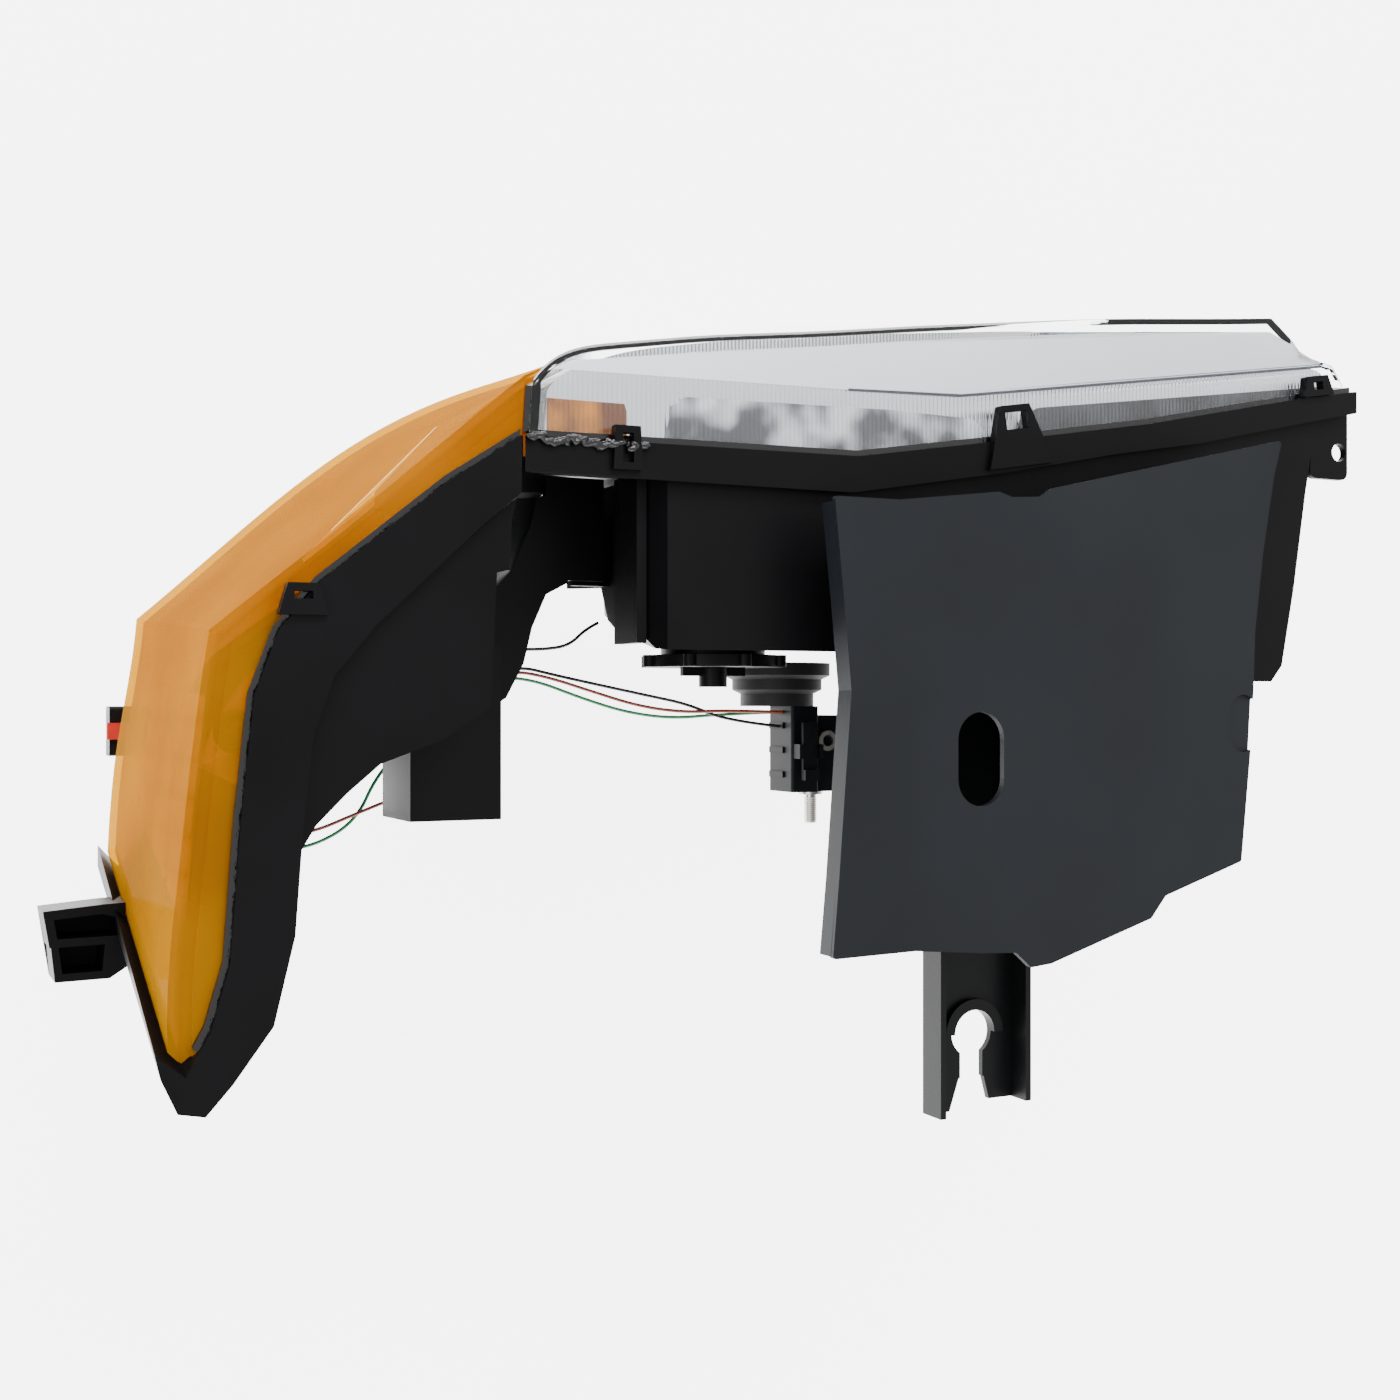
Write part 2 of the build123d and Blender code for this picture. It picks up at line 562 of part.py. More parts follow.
def side_reflex_insert():
    """Three rows of prisms behind the side face of the turn signal lens."""
    with BuildPart() as insert:
        for low, high in ((-152, -118), (-108, -74), (-64, -30)):
            row = [
                ("line", [(566, 128), (571, 180), (573.5, 222)], [(563, 116), (568, 145), (570, 166)]),
                ("line", [(571, 222), (568.5, 180), (563.5, 128)], [(567.5, 166), (565.5, 145),
                (560.5, 116)]),
            ]
            add(slab(row, low, high))
        for z in (-113, -69):
            row = [
                ("line", [(564.8, 150), (568.5, 200)], [(561.8, 130), (566, 155)]),
                ("line", [(567, 200), (563.3, 150)], [(564.5, 155), (560.3, 130)]),
            ]
            add(slab(row, z - 6, z + 6))
    return finish(insert, "side_reflex_insert")


# ---------------------------------------------------------------- aiming
def aim_stud(name, centre, tail):
    """A ball on a straight shank through the rear wall."""
    with BuildPart() as stud:
        ball(centre, BALL_R)
        drum(centre, (0, 1, 0), STUD_R, tail - centre[1])
    return finish(stud, name)


def pivot_liner():
    with BuildPart() as liner:
        ball(PIVOT, LINER_R)
        ball(PIVOT, BALL_R + RUNNING, Mode.SUBTRACT)
        drum((PIVOT[0], PIVOT[1] + MOUTH_OF_CUP, PIVOT[2]), (0, 1, 0), 20, 20, Mode.SUBTRACT)
    return finish(liner, "pivot_liner")


def adjuster(name, centre, wall_y):
    """The body behind the wall and the toothed wheel whose thread drives the stud."""
    x, _, z = centre
    body_end = wall_y + 18
    with BuildPart() as body:
        block((x - 13, x + 13), (wall_y, body_end), (z - 13, z + 13))
        fillet(body.edges().filter_by(Axis.Y), 3)
        drum((x, wall_y - 1, z), (0, 1, 0), STUD_R + RUNNING, 40, Mode.SUBTRACT)
    finish(body, f"{name}_adjuster_body")
    with BuildPart() as wheel:
        drum((x, body_end + 0.4, z), (0, 1, 0), 11, 5)
        for tooth in range(18):
            spot = Vector(11, 0, 0).rotate(Axis.Y, tooth * 20)
            place = (x + spot.X, body_end + 2.9, z + spot.Z)
            with Locations(Plane(origin=place, x_dir=(spot.X, 0, spot.Z), z_dir=(0, 1, 0))):
                Box(3, 1.6, 5)
        drum((x, body_end + 5.4, z), (0, 1, 0), 6, 4)
        drum((x, body_end - 1, z), (0, 1, 0), STUD_R + RUNNING, 20, Mode.SUBTRACT)
    finish(wheel, f"{name}_adjuster_wheel")


# ---------------------------------------------------------------- rear wall fittings
def boot(name, x, wall_y):
    """A stepped rubber boot over a bulb, turned about the beam axis."""
    outer = [(0, 0), (BOOT_R, 0), (BOOT_R, 6), (22, 8), (22, 13), (18, 15), (18, 21), (0, 21)]
    inner = [(0, -1), (BOOT_R - 5, -1), (BOOT_R - 5, 3), (19, 6), (19, 11), (15, 13), (15, 18), (0, 18)]
    axis = Axis((x, 0, BEAM_Z), (0, 1, 0))
    plane = Plane(origin=(x, wall_y, BEAM_Z), x_dir=(1, 0, 0), z_dir=(0, 0, 1))
    with BuildPart() as rubber:
        for outline, mode in ((outer, Mode.ADD), (inner, Mode.SUBTRACT)):
            with BuildSketch(plane):
                with BuildLine():
                    Polyline(*outline, close=True)
                make_face()
            revolve(axis=axis, mode=mode)
    return finish(rubber, name)


def connector(name, x, y):
    """A plug body behind a boot, with a narrower block beside it."""
    with BuildPart() as plug:
        block((x - 7.5, x + 7.5), (y, y + PLUG_LENGTH), (BEAM_Z - 12, BEAM_Z + 12))
        fillet(plug.edges().filter_by(Axis.Y), 1.5)
        block((x - 21, x - 7), (y + 4.5, y + PLUG_LENGTH), (BEAM_Z - 12, BEAM_Z + 8))
        for step in (8, 20, 32):
            block((x + 7, x + 8.5), (y + step, y + step + 3), (BEAM_Z - 10, BEAM_Z + 4))
    return finish(plug, name)


def plug_ring(x, y):
    """The metal eyelet pressed into the top of the low beam plug's narrower block."""
    with BuildPart() as ring:
        drum((x, y, BEAM_Z + 8), (0, 0, 1), 5, 2.5)
        drum((x, y, BEAM_Z + 7), (0, 0, 1), 2.8, 5, Mode.SUBTRACT)
    return finish(ring, "plug_ring")


def connector_latch(x, y):
    """The sprung lever along the top of the low beam plug."""
    with BuildPart() as latch:
        block((x - 4, x + 4), (y + 8, y + 36), (BEAM_Z + 15, BEAM_Z + 16.8))
        block((x - 4, x + 4), (y + 31, y + 36), (BEAM_Z + 16.8, BEAM_Z + 19))
        drum((x - 6.6, y + 22, BEAM_Z + 15), (1, 0, 0), 1.4, 13.2)
    finish(latch, "connector_latch")
    with BuildPart() as ears:
        for side in (-6.6, 4.4):
            block((x + side, x + side + 2.2), (y + 18.5, y + 25.5), (BEAM_Z + 12, BEAM_Z + 18))
        drum((x - 10, y + 22, BEAM_Z + 15), (1, 0, 0), 1.4 + RUNNING, 20, Mode.SUBTRACT)
    finish(ears, "connector_latch_ears")


def threaded_stud(x, y):
    """An M6 stud and its washer on the end of the low beam plug."""
    with BuildPart() as stud:
        drum((x, y, BEAM_Z), (0, 1, 0), 3, 16)
        chamfer(stud.edges().sort_by(Axis.Y)[-1], 0.6)
        drum((x, y, BEAM_Z), (0, 1, 0), 6, 1.6)
    return finish(stud, "ground_stud")


def service_cap():
    x, z = SERVICE_CAP
    with BuildPart() as cap:
        drum((x, 106.6, z), (0, 1, 0), SERVICE_CAP_R, 5.4)
        for spoke in range(8):
            spot = Vector(SERVICE_CAP_R, 0, 0).rotate(Axis.Y, spoke * 45)
            drum((x + spot.X, 106.6, z + spot.Z), (0, 1, 0), 3, 5.4)
        drum((x, 112, z), (0, 1, 0), 6.5, 9)
        block((x - 16, x + 16), (112, 116), (z - 1.5, z + 1.5))
        drum((x, 100, z), (0, 1, 0), SERVICE_CAP_R - 8, 6.6)
    return finish(cap, "service_cap")


# ---------------------------------------------------------------- shield and brackets
def top_shield():
    """The flat shield with its rolled outboard lip; four pegs under it press into the housing's posts."""
    outline = [
        (72, 3), (207, 33), (213, 37), (229, 38), (236, 36), (287, 42), (319, 42), (314.6, 85), (311, 123),
        (317, 202), (320, 235), (279, 234), (245.5, 237), (227, 238), (219, 245), (208, 244), (151.5, 227),
        (143, 217), (97.5, 203), (92, 152), (90, 122), (89, 95), (84, 57), (77, 20),
    ]
    lip = [
        (319, 44), (314.6, 85), (311, 123), (317, 202), (320, 234), (317, 234), (314, 202),
        (308, 123), (311.6, 85),
        (316, 44),
    ]
    with BuildPart() as shield:
        add(plate(outline, SHIELD_Z, SHIELD_Z + SHIELD_T))
        fillet(shield.edges().filter_by(Axis.Z), 1.5)
        add(plate(lip, SHIELD_Z - LIP_DROP, SHIELD_Z + 1))
        with BuildSketch(Plane.XY.offset(SHIELD_Z)):
            with Locations(SLOT):
                SlotOverall(SLOT_LENGTH, SLOT_WIDTH, rotation=90)
        extrude(amount=SHIELD_T, mode=Mode.SUBTRACT)
        with BuildSketch(Plane.XY.offset(SHIELD_Z + SHIELD_T)):
            with Locations((96, 138)):
                SlotOverall(27, 18, rotation=90)
        extrude(amount=-SHIELD_T * 0.6, mode=Mode.SUBTRACT)
        for x, y in SHIELD_POSTS:
            drum((x, y, SHIELD_Z + 1), (0, 0, -1), SCREW_R - RUNNING, 11)
    return finish(shield, "top_shield")


def screws(name, places, direction, length):
    """Identical self-tapping screws; each place is the point under the head."""
    out = Vector(*direction)
    with BuildPart() as group:
        for place in places:
            drum(place, direction, SCREW_HEAD_R, SCREW_HEAD_H)
            drum(tuple(Vector(*place) - out * length), direction, SCREW_R - RUNNING, length)
            drum(tuple(Vector(*place) + out * 1.4), direction, 2.2, 3, Mode.SUBTRACT)
    return finish(group, name)


def rear_bracket():
    x0, x1 = 188.5, 239.0
    with BuildPart() as bracket:
        block((x0, x1), (113.6, 319), (BRACKET_Z, BRACKET_Z + BRACKET_T))
        for x in (x0, x1 - 3):
            block((x, x + 3), (113.6, 319), (BRACKET_Z, BRACKET_Z + 15))
        block((x0, x1), (113.6, 117), (BRACKET_Z - 22, BRACKET_Z + 15))
        block((x0 - 1, x0 + 22), (315, 325), (-60, 20), Mode.SUBTRACT)
        drum((*KEYHOLE, BRACKET_Z), (0, 0, 1), KEYHOLE_R + 5, 6)
        block((x0 + 3, x1 - 3), (KEYHOLE[1], 330), (BRACKET_Z + BRACKET_T, BRACKET_Z + 10), Mode.SUBTRACT)
        drum((*KEYHOLE, BRACKET_Z - 5), (0, 0, 1), KEYHOLE_R, 20, Mode.SUBTRACT)
        half = KEYHOLE_SLOT / 2
        mouth = (KEYHOLE[0] - half, KEYHOLE[0] + half)
        block(mouth, (KEYHOLE[1], 330), (BRACKET_Z - 5, BRACKET_Z + 20), Mode.SUBTRACT)
        x = KEYHOLE[0]
        flare = [(x - 7, 304), (x + 7, 304), (x + 16, 330), (x - 14, 330)]
        add(plate(flare, -40, -15), mode=Mode.SUBTRACT)
        for x in BRACKET_SCREWS:
            drum((x, 100, BRACKET_Z - 12), (0, 1, 0), SCREW_R + 0.3, 30, Mode.SUBTRACT)
    return finish(bracket, "rear_bracket")


def fender_bracket():
    """The channel beside the wing's lower end, bonded to the side of its rim."""
    back = [(578, 214), (590, 214.5), (614, 216.5), (613.4, 220.5), (590, 218.6), (578, 222)]
    cheek = [(614, 216.5), (611.4, 232), (607.6, 232), (610, 218)]
    box = [(611.2, 228.5), (574, 228), (574, 238), (587, 246.4), (609.2, 246.8)]
    pocket = [(607.8, 232), (589, 231.6), (590, 243), (606.2, 243.3)]
    floor = [(578, 214), (590, 214.5), (614, 216.5), (609.2, 246.8), (587, 246.4), (574, 238)]
    with BuildPart() as bracket:
        for shape in (back, cheek, box):
            add(plate(shape, CHANNEL_Z - CHANNEL_H, CHANNEL_Z))
        add(plate(pocket, CHANNEL_Z - CHANNEL_H, CHANNEL_Z + 1), mode=Mode.SUBTRACT)
        add(plate(floor, CHANNEL_Z - CHANNEL_H, CHANNEL_Z - CHANNEL_H + SHELL))
        add(slab(TURN_RIM, LENS_BOTTOM - RIM_PROUD, LENS_TOP + RIM_PROUD), mode=Mode.SUBTRACT)
        add(slab(AMBER_LENS, LENS_BOTTOM, LENS_TOP, [-SEAT_GAP] * 5), mode=Mode.SUBTRACT)
    return finish(bracket, "fender_bracket")


# ---------------------------------------------------------------- turn signal bulbs
def grommet(name, start, axis):
    """A rubber grommet on the wing's rear face, with the leads against its outer end."""
    with BuildPart() as rubber:
        drum(tuple(Vector(*start) - Vector(*axis) * 2), axis, 6, 10)
        drum(tuple(Vector(*start) + Vector(*axis) * 2), axis, 8, 3)
        add(slab(TURN_BOWL, BOWL_BOTTOM, BOWL_TOP), mode=Mode.SUBTRACT)
        add(slab(TURN_RIM, LENS_BOTTOM - RIM_PROUD, LENS_TOP + RIM_PROUD), mode=Mode.SUBTRACT)
    return finish(rubber, name)


def side_marker_plug():
    """The right-angle plug on the side marker socket, and its red lock tab."""
    x, y, z = MARKER
    with BuildPart() as plug:
        block((x - 9, x + 52), (y - 12, y + 12), (z - 30, z - 17.2))
        fillet(plug.edges().filter_by(Axis.X), 2)
    finish(plug, "side_marker_plug")
    with BuildPart() as tab:
        block((x + 44, x + 53.5), (y - 4, y + 4), (z - 17.2, z - 14.5))
    finish(tab, "side_marker_lock_tab")


def lamp_socket(name, start, axis, radius, globe):
    """A twist-in socket: its flange stands on the housing, its neck holds the bulb."""
    out = Vector(*axis).normalized()
    base = Vector(*start)
    with BuildPart() as socket:
        drum(tuple(base - out * 12), axis, radius - 0.5, 13)
        drum(tuple(base + out * 0.2), axis, radius + 4, 2.8)
        drum(tuple(base + out * 3), axis, radius - 2, 14)
        across = out.cross(Vector(0, 0, 1) if abs(out.Z) < 0.5 else Vector(1, 0, 0)).normalized()
        for side in (-1, 1):
            place = base + out * 10 + across * radius * side
            with Locations(Plane(origin=tuple(place), x_dir=tuple(across), z_dir=axis)):
                Box(7, 3, 13)
    finish(socket, f"{name}_socket")
    with BuildPart() as glass:
        tip = base - out * 12
        drum(tuple(tip - out * 14), axis, 4, 14)
        ball(tuple(tip - out * 16), globe)
    finish(glass, f"{name}_bulb")


def wire(name, points):
    """A thin lead along straight runs joined by arcs as wide as the runs allow."""
    path_points = [Vector(*point) for point in points]
    radii = []
    for before, here, after in zip(path_points, path_points[1:], path_points[2:]):
        turn = math.radians((here - before).get_angle(after - here))
        run = min((here - before).length, (after - here).length)
        radii.append(0.45 * run / math.tan(turn / 2))
    with BuildPart() as lead:
        with BuildLine() as path:
            FilletPolyline(*path_points, radius=radii)
        with BuildSketch(Plane(origin=path_points[0], z_dir=path_points[1] - path_points[0])):
            Circle(WIRE_R)
        sweep()
    length = path.wire().length
    ratio = lead.part.volume / (math.pi * WIRE_R**2 * length)
    print(name, "length", round(length, 1), "radii", [round(r, 1) for r in radii], "ratio", round(ratio, 4))
    return finish(lead, name)


os.makedirs("parts", exist_ok=True)
headlamp_lens()
turn_signal_lens()
sealant("headlamp_sealant", CLEAR_LENS, HEADLAMP_RIM)
sealant("turn_signal_sealant", AMBER_LENS, TURN_RIM)
lens_joint_strip()
headlamp_housing()
turn_signal_housing()
headlamp_bezel()
reflector()
glare_cap()
bulb("low_beam", LOW_X)
bulb("high_beam", HIGH_X)
turn_signal_reflector()
side_reflex_insert()
aim_stud("pivot_stud", PIVOT, 126)
aim_stud("horizontal_aim_stud", HORIZONTAL, 150)
aim_stud("vertical_aim_stud", VERTICAL, 150)
pivot_liner()
adjuster("horizontal", HORIZONTAL, 120)
adjuster("vertical", VERTICAL, 120)
boot("low_beam_boot", LOW_X, 109)
boot("high_beam_boot", HIGH_X, 118)
connector("low_beam_plug", LOW_X + PLUG_SHIFT, PLUG_Y)
connector("high_beam_plug", HIGH_X + PLUG_SHIFT, 139)
connector_latch(LOW_X + PLUG_SHIFT, PLUG_Y)
plug_ring(LOW_X + PLUG_SHIFT - 13.5, 147)
threaded_stud(LOW_X + PLUG_SHIFT - 9.5, PLUG_Y + PLUG_LENGTH)
service_cap()
top_shield()
rear_bracket()
fender_bracket()
screws("housing_joint_screws", [(x, y, WEB_Z - 6) for x, y in JOINT_SCREWS], (0, 0, -1), 4.9)
screws("bracket_screws", [(x, 117, BRACKET_Z - 12) for x in BRACKET_SCREWS], (0, 1, 0), 10)
lamp_socket("turn_signal", TURN_SOCKET, TURN_AXIS, 13, 8)
lamp_socket("side_marker", MARKER, (0, 0, -1), 9.5, 4.8)
side_marker_plug()
grommet("earth_grommet", EARTH_GROMMET, EARTH_AXIS)
grommet("signal_grommet", SIGNAL_GROMMET, SIGNAL_AXIS)

plug_side = LOW_X + PLUG_SHIFT + 7.5
earth_end = Vector(*EARTH_GROMMET) + Vector(*EARTH_AXIS) * 8
signal_end = Vector(*SIGNAL_GROMMET) + Vector(*SIGNAL_AXIS) * 8
wire("black_wire", [
    (plug_side, 140, -92), (304, 137, -94), (322, 129, -99), (340, 125, -105), (363, 120, -110),
    (386, 115, -114),
    (402, 111, -117), (415, 116, -119), (earth_end.X - 2, earth_end.Y, -120),
])
wire("black_feed_wire", [
    (364.6, 90, -110), (371, 93, -110), (379, 101, -111), (391, 103, -113), (404, 103, -115),
    (416, 110, -116),
    (earth_end.X + 1, earth_end.Y, -115),
])
wire("brown_wire", [
    (plug_side, 133, -90), (305, 132, -92), (325, 133, -97), (346, 130, -104), (368, 123, -109),
    (390, 116, -112),
    (408, 113, -114), (424, 122, -112), (438, 146, -109), (456, 168, -108), (482, 178, -110),
    (504, 187, -112),
    (signal_end.X, signal_end.Y + 2, -113),
])
wire("green_wire", [
    (plug_side, 133, -95), (306, 134, -98), (328, 136, -104), (350, 133, -110), (372, 126, -114),
    (393, 118, -117),
    (410, 116, -118), (428, 124, -117), (452, 142, -114), (472, 160, -112), (482, 182, -112),
    (502, 193, -114),
    (518, 193, -116), (signal_end.X, signal_end.Y - 1, -117.5),
])
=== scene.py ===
"""The truck headlamp's finished look: materials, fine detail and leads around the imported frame."""
import json
import math
import random

import bpy
from mathutils import Matrix, Vector


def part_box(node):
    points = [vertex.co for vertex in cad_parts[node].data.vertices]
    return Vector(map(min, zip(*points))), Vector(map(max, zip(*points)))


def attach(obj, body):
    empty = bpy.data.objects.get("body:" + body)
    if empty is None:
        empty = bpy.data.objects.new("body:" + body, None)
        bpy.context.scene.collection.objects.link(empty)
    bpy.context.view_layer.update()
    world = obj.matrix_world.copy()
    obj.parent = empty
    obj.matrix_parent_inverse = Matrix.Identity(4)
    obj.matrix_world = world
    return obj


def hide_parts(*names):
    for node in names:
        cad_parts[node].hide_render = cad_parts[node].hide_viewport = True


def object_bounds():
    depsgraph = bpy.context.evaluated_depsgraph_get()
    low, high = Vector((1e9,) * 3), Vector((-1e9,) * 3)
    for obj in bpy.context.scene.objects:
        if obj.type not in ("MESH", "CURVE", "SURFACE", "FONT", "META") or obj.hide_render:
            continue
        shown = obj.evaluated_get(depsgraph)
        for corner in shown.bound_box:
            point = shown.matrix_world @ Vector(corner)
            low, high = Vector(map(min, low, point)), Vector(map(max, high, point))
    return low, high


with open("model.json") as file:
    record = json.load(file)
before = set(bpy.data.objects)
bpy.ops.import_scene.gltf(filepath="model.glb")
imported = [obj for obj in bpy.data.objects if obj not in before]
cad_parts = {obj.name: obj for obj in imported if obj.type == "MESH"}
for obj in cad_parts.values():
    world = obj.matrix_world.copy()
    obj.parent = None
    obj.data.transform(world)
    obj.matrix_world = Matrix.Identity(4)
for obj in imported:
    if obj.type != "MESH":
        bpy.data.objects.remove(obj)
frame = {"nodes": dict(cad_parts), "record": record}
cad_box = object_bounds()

MM = 0.001


# ---------------------------------------------------------------- camera, floor and lights
CAMERA_TURN = math.radians(26)  # swung outboard from straight above
CAMERA_PLACE = (0.6885, 0.1270, 0.6655)
CAMERA_LENS_MM = 45
FLOOR_DROP = 0.12  # the floor lies this far below the lamp
FLOOR_SIZE = 8
FLOOR_CENTRE = (0.3, 0.1)
ROOM_BRIGHTNESS = 1.5
SOFTBOXES = {  # name: (place, point it faces, size, watts)
    "key": ((0.2, -1.3, 1.2), (0.3, 0.0, -0.05), (1.4, 0.7), 30),
    "fill": ((1.7, 0.3, 0.9), (0.4, 0.1, -0.1), (0.9, 0.9), 10),
    "rear": ((0.2, 1.3, 0.8), (0.3, 0.1, -0.05), (1.2, 0.5), 8),
}


def make_camera():
    """Looks down on the lamp with its front towards the top of the frame."""
    right = (-math.cos(CAMERA_TURN), 0, math.sin(CAMERA_TURN))
    up = (0, -1, 0)
    back = (math.sin(CAMERA_TURN), 0, math.cos(CAMERA_TURN))
    data = bpy.data.cameras.new("camera")
    data.lens = CAMERA_LENS_MM
    data.clip_start = 0.01
    camera = bpy.data.objects.new("camera", data)
    bpy.context.collection.objects.link(camera)
    turn = Matrix((right, up, back)).transposed().to_4x4()
    camera.matrix_world = Matrix.Translation(CAMERA_PLACE) @ turn
    bpy.context.scene.camera = camera


def softbox(name, place, aim, size, power):
    """An area light that faces a point."""
    data = bpy.data.lights.new(name, "AREA")
    data.shape = "RECTANGLE"
    data.size, data.size_y = size
    data.energy = power
    lamp = bpy.data.objects.new(name, data)
    bpy.context.collection.objects.link(lamp)
    lamp.location = place
    lamp.rotation_euler = (Vector(aim) - Vector(place)).to_track_quat("-Z", "Y").to_euler()


def make_studio():
    """A bright white sweep under the lamp, an even white surround and three soft lights."""
    lowest = cad_box[0][2]
    bpy.ops.mesh.primitive_plane_add(size=FLOOR_SIZE, location=(*FLOOR_CENTRE, lowest - FLOOR_DROP))
    floor = bpy.context.object
    floor.name = "floor"
    floor.data.materials.append(painted_floor())
    world = bpy.data.worlds.new("studio")
    bpy.context.scene.world = world
    world.use_nodes = True
    surround = world.node_tree.nodes["Background"]
    surround.inputs["Color"].default_value = (1, 1, 1, 1)
    surround.inputs["Strength"].default_value = ROOM_BRIGHTNESS
    for name, (place, aim, size, power) in SOFTBOXES.items():
        softbox(name, place, aim, size, power)


# ---------------------------------------------------------------- materials
FLUTE_PITCH_MM = 2.2
WAVE_SCALE = math.tau / 20  # a wave texture of this scale repeats its bands once in a unit of length
FLUTES = {"wave_type": "BANDS", "bands_direction": "X", "wave_profile": "SIN"}
PRISM_RUNGS = {"wave_type": "BANDS", "bands_direction": "Z", "wave_profile": "TRI"}
PRISM_LADDERS = {"wave_type": "BANDS", "bands_direction": "Y", "wave_profile": "TRI"}


def srgb(code):
    """An sRGB hex colour as the linear colour a shader takes."""
    parts = [int(code[i:i + 2], 16) / 255 for i in (1, 3, 5)]
    return tuple(c / 12.92 if c <= 0.04045 else ((c + 0.055) / 1.055) ** 2.4 for c in parts) + (1.0,)


def add_node(material, kind, settings=None, **inputs):
    """A node with its settings; an input is a value or a socket to link from, and _0 is the first."""
    node = material.node_tree.nodes.new(kind)
    for key, value in (settings or {}).items():
        setattr(node, key, value)
    for key, value in inputs.items():
        socket = node.inputs[int(key[1:])] if key[0] == "_" else node.inputs[key.replace("_", " ")]
        if isinstance(value, bpy.types.NodeSocket):
            material.node_tree.links.new(value, socket)
        else:
            socket.default_value = value
    return node


def shaded(name, **inputs):
    """A new material and its Principled shader, with the given sockets set."""
    material = bpy.data.materials.new(name)
    material.use_nodes = True
    shader = material.node_tree.nodes["Principled BSDF"]
    for key, value in inputs.items():
        shader.inputs[key.replace("_", " ")].default_value = value
    return material, shader


def join(material, source, target):
    material.node_tree.links.new(source, target)


def object_place(material):
    return add_node(material, "ShaderNodeTexCoord").outputs["Object"]


def colour_ramp(material, source, stops):
    """The colour of a ramp that runs through the given stops."""
    ramp = add_node(material, "ShaderNodeValToRGB", None, Fac=source)
    elements = ramp.color_ramp.elements
    while len(elements) < len(stops):
        elements.new(0.5)
    for element, (position, colour) in zip(elements, stops):
        element.position = position
        element.color = colour
    return ramp.outputs["Color"]


def painted_floor():
    """Matt white paint that glows like a lit studio sweep, so that it goes to white."""
    return shaded(
        "white_sweep_paint", Base_Color=srgb("#FAFAFA"), Roughness=0.9, Emission_Color=srgb("#FFFFFF"),
        Emission_Strength=4.5,
    )[0]


def moulded(name, dark, light, roughness, grain_mm, grain_depth_mm, flow_mm, gloss):
    """A dark skin with a fine grain, and faint cloudy flow marks that change its colour and gloss."""
    material, shader = shaded(name, IOR=1.49, Specular_IOR_Level=gloss)
    place = object_place(material)
    flow = add_node(
        material, "ShaderNodeTexNoise", None, Vector=place, Scale=1 / (flow_mm * MM), Detail=3.0,
    )
    grain = add_node(
        material, "ShaderNodeTexNoise", None, Vector=place, Scale=1 / (grain_mm * MM), Detail=4.0,
    )
    tint = colour_ramp(material, flow.outputs["Fac"], [(0.3, srgb(dark)), (0.7, srgb(light))])
    join(material, tint, shader.inputs["Base Color"])
    dullness = add_node(
        material, "ShaderNodeMapRange", None, Value=flow.outputs["Fac"], To_Min=roughness - 0.06,
        To_Max=roughness + 0.08,
    )
    join(material, dullness.outputs["Result"], shader.inputs["Roughness"])
    bump = add_node(
        material, "ShaderNodeBump", None, Height=grain.outputs["Fac"], Distance=grain_depth_mm * MM,
        Strength=0.6,
    )
    join(material, bump.outputs["Normal"], shader.inputs["Normal"])
    return material


def polypropylene():
    """Black polypropylene, injection moulded: near black, satin, with soft flow clouds."""
    return moulded("black_polypropylene", "#050506", "#09090B", 0.42, 0.9, 0.05, 60.0, 0.1)


def shield_sheet():
    """Charcoal polypropylene sheet, die cut: flatter and greyer than the mouldings, faintly blue."""
    return moulded("charcoal_polypropylene_sheet", "#0D1015", "#15181C", 0.5, 1.2, 0.03, 110.0, 0.2)


def glass_filled_nylon():
    """Black glass-filled nylon: a dry sheen, faintly blue."""
    return moulded("black_glass_filled_nylon", "#07090B", "#0D0F12", 0.4, 0.7, 0.03, 20.0, 0.1)


def rubber():
    """Black EPDM rubber, moulded: matt with a fine skin."""
    return moulded("black_epdm_rubber", "#0A0A0B", "#111112", 0.62, 0.8, 0.04, 25.0, 0.3)


def powder_coat():
    """Black powder coat on pressed steel: satin with orange peel."""
    return moulded("black_powder_coat", "#08090A", "#0E0F10", 0.36, 1.6, 0.08, 40.0, 0.15)


def butyl():
    """Squeezed-out butyl sealant: glossy, lumpy and wet looking."""
    material, shader = shaded("black_butyl_sealant", Base_Color=srgb("#060607"), Roughness=0.16, IOR=1.5)
    place = object_place(material)
    lumps = add_node(material, "ShaderNodeTexNoise", None, Vector=place, Scale=1 / (4 * MM), Detail=3.0)
    bump = add_node(
        material, "ShaderNodeBump", None, Height=lumps.outputs["Fac"], Distance=0.8 * MM,
        Strength=0.9,
    )
    join(material, bump.outputs["Normal"], shader.inputs["Normal"])
    return material


def polycarbonate():
    """Hard-coated clear polycarbonate: water clear, with faint moulding waves over what lies behind."""
    material, shader = shaded(
        "clear_polycarbonate", Base_Color=srgb("#FCFDFF"), Roughness=0.0, IOR=1.18, Transmission_Weight=1.0,
        Coat_Weight=0.5, Coat_Roughness=0.02,
    )
    place = object_place(material)
    waves = add_node(material, "ShaderNodeTexNoise", None, Vector=place, Scale=1 / (45 * MM), Detail=1.0)
    bump = add_node(
        material, "ShaderNodeBump", None, Height=waves.outputs["Fac"], Distance=0.8 * MM,
        Strength=0.5,
    )
    join(material, bump.outputs["Normal"], shader.inputs["Normal"])
    return material


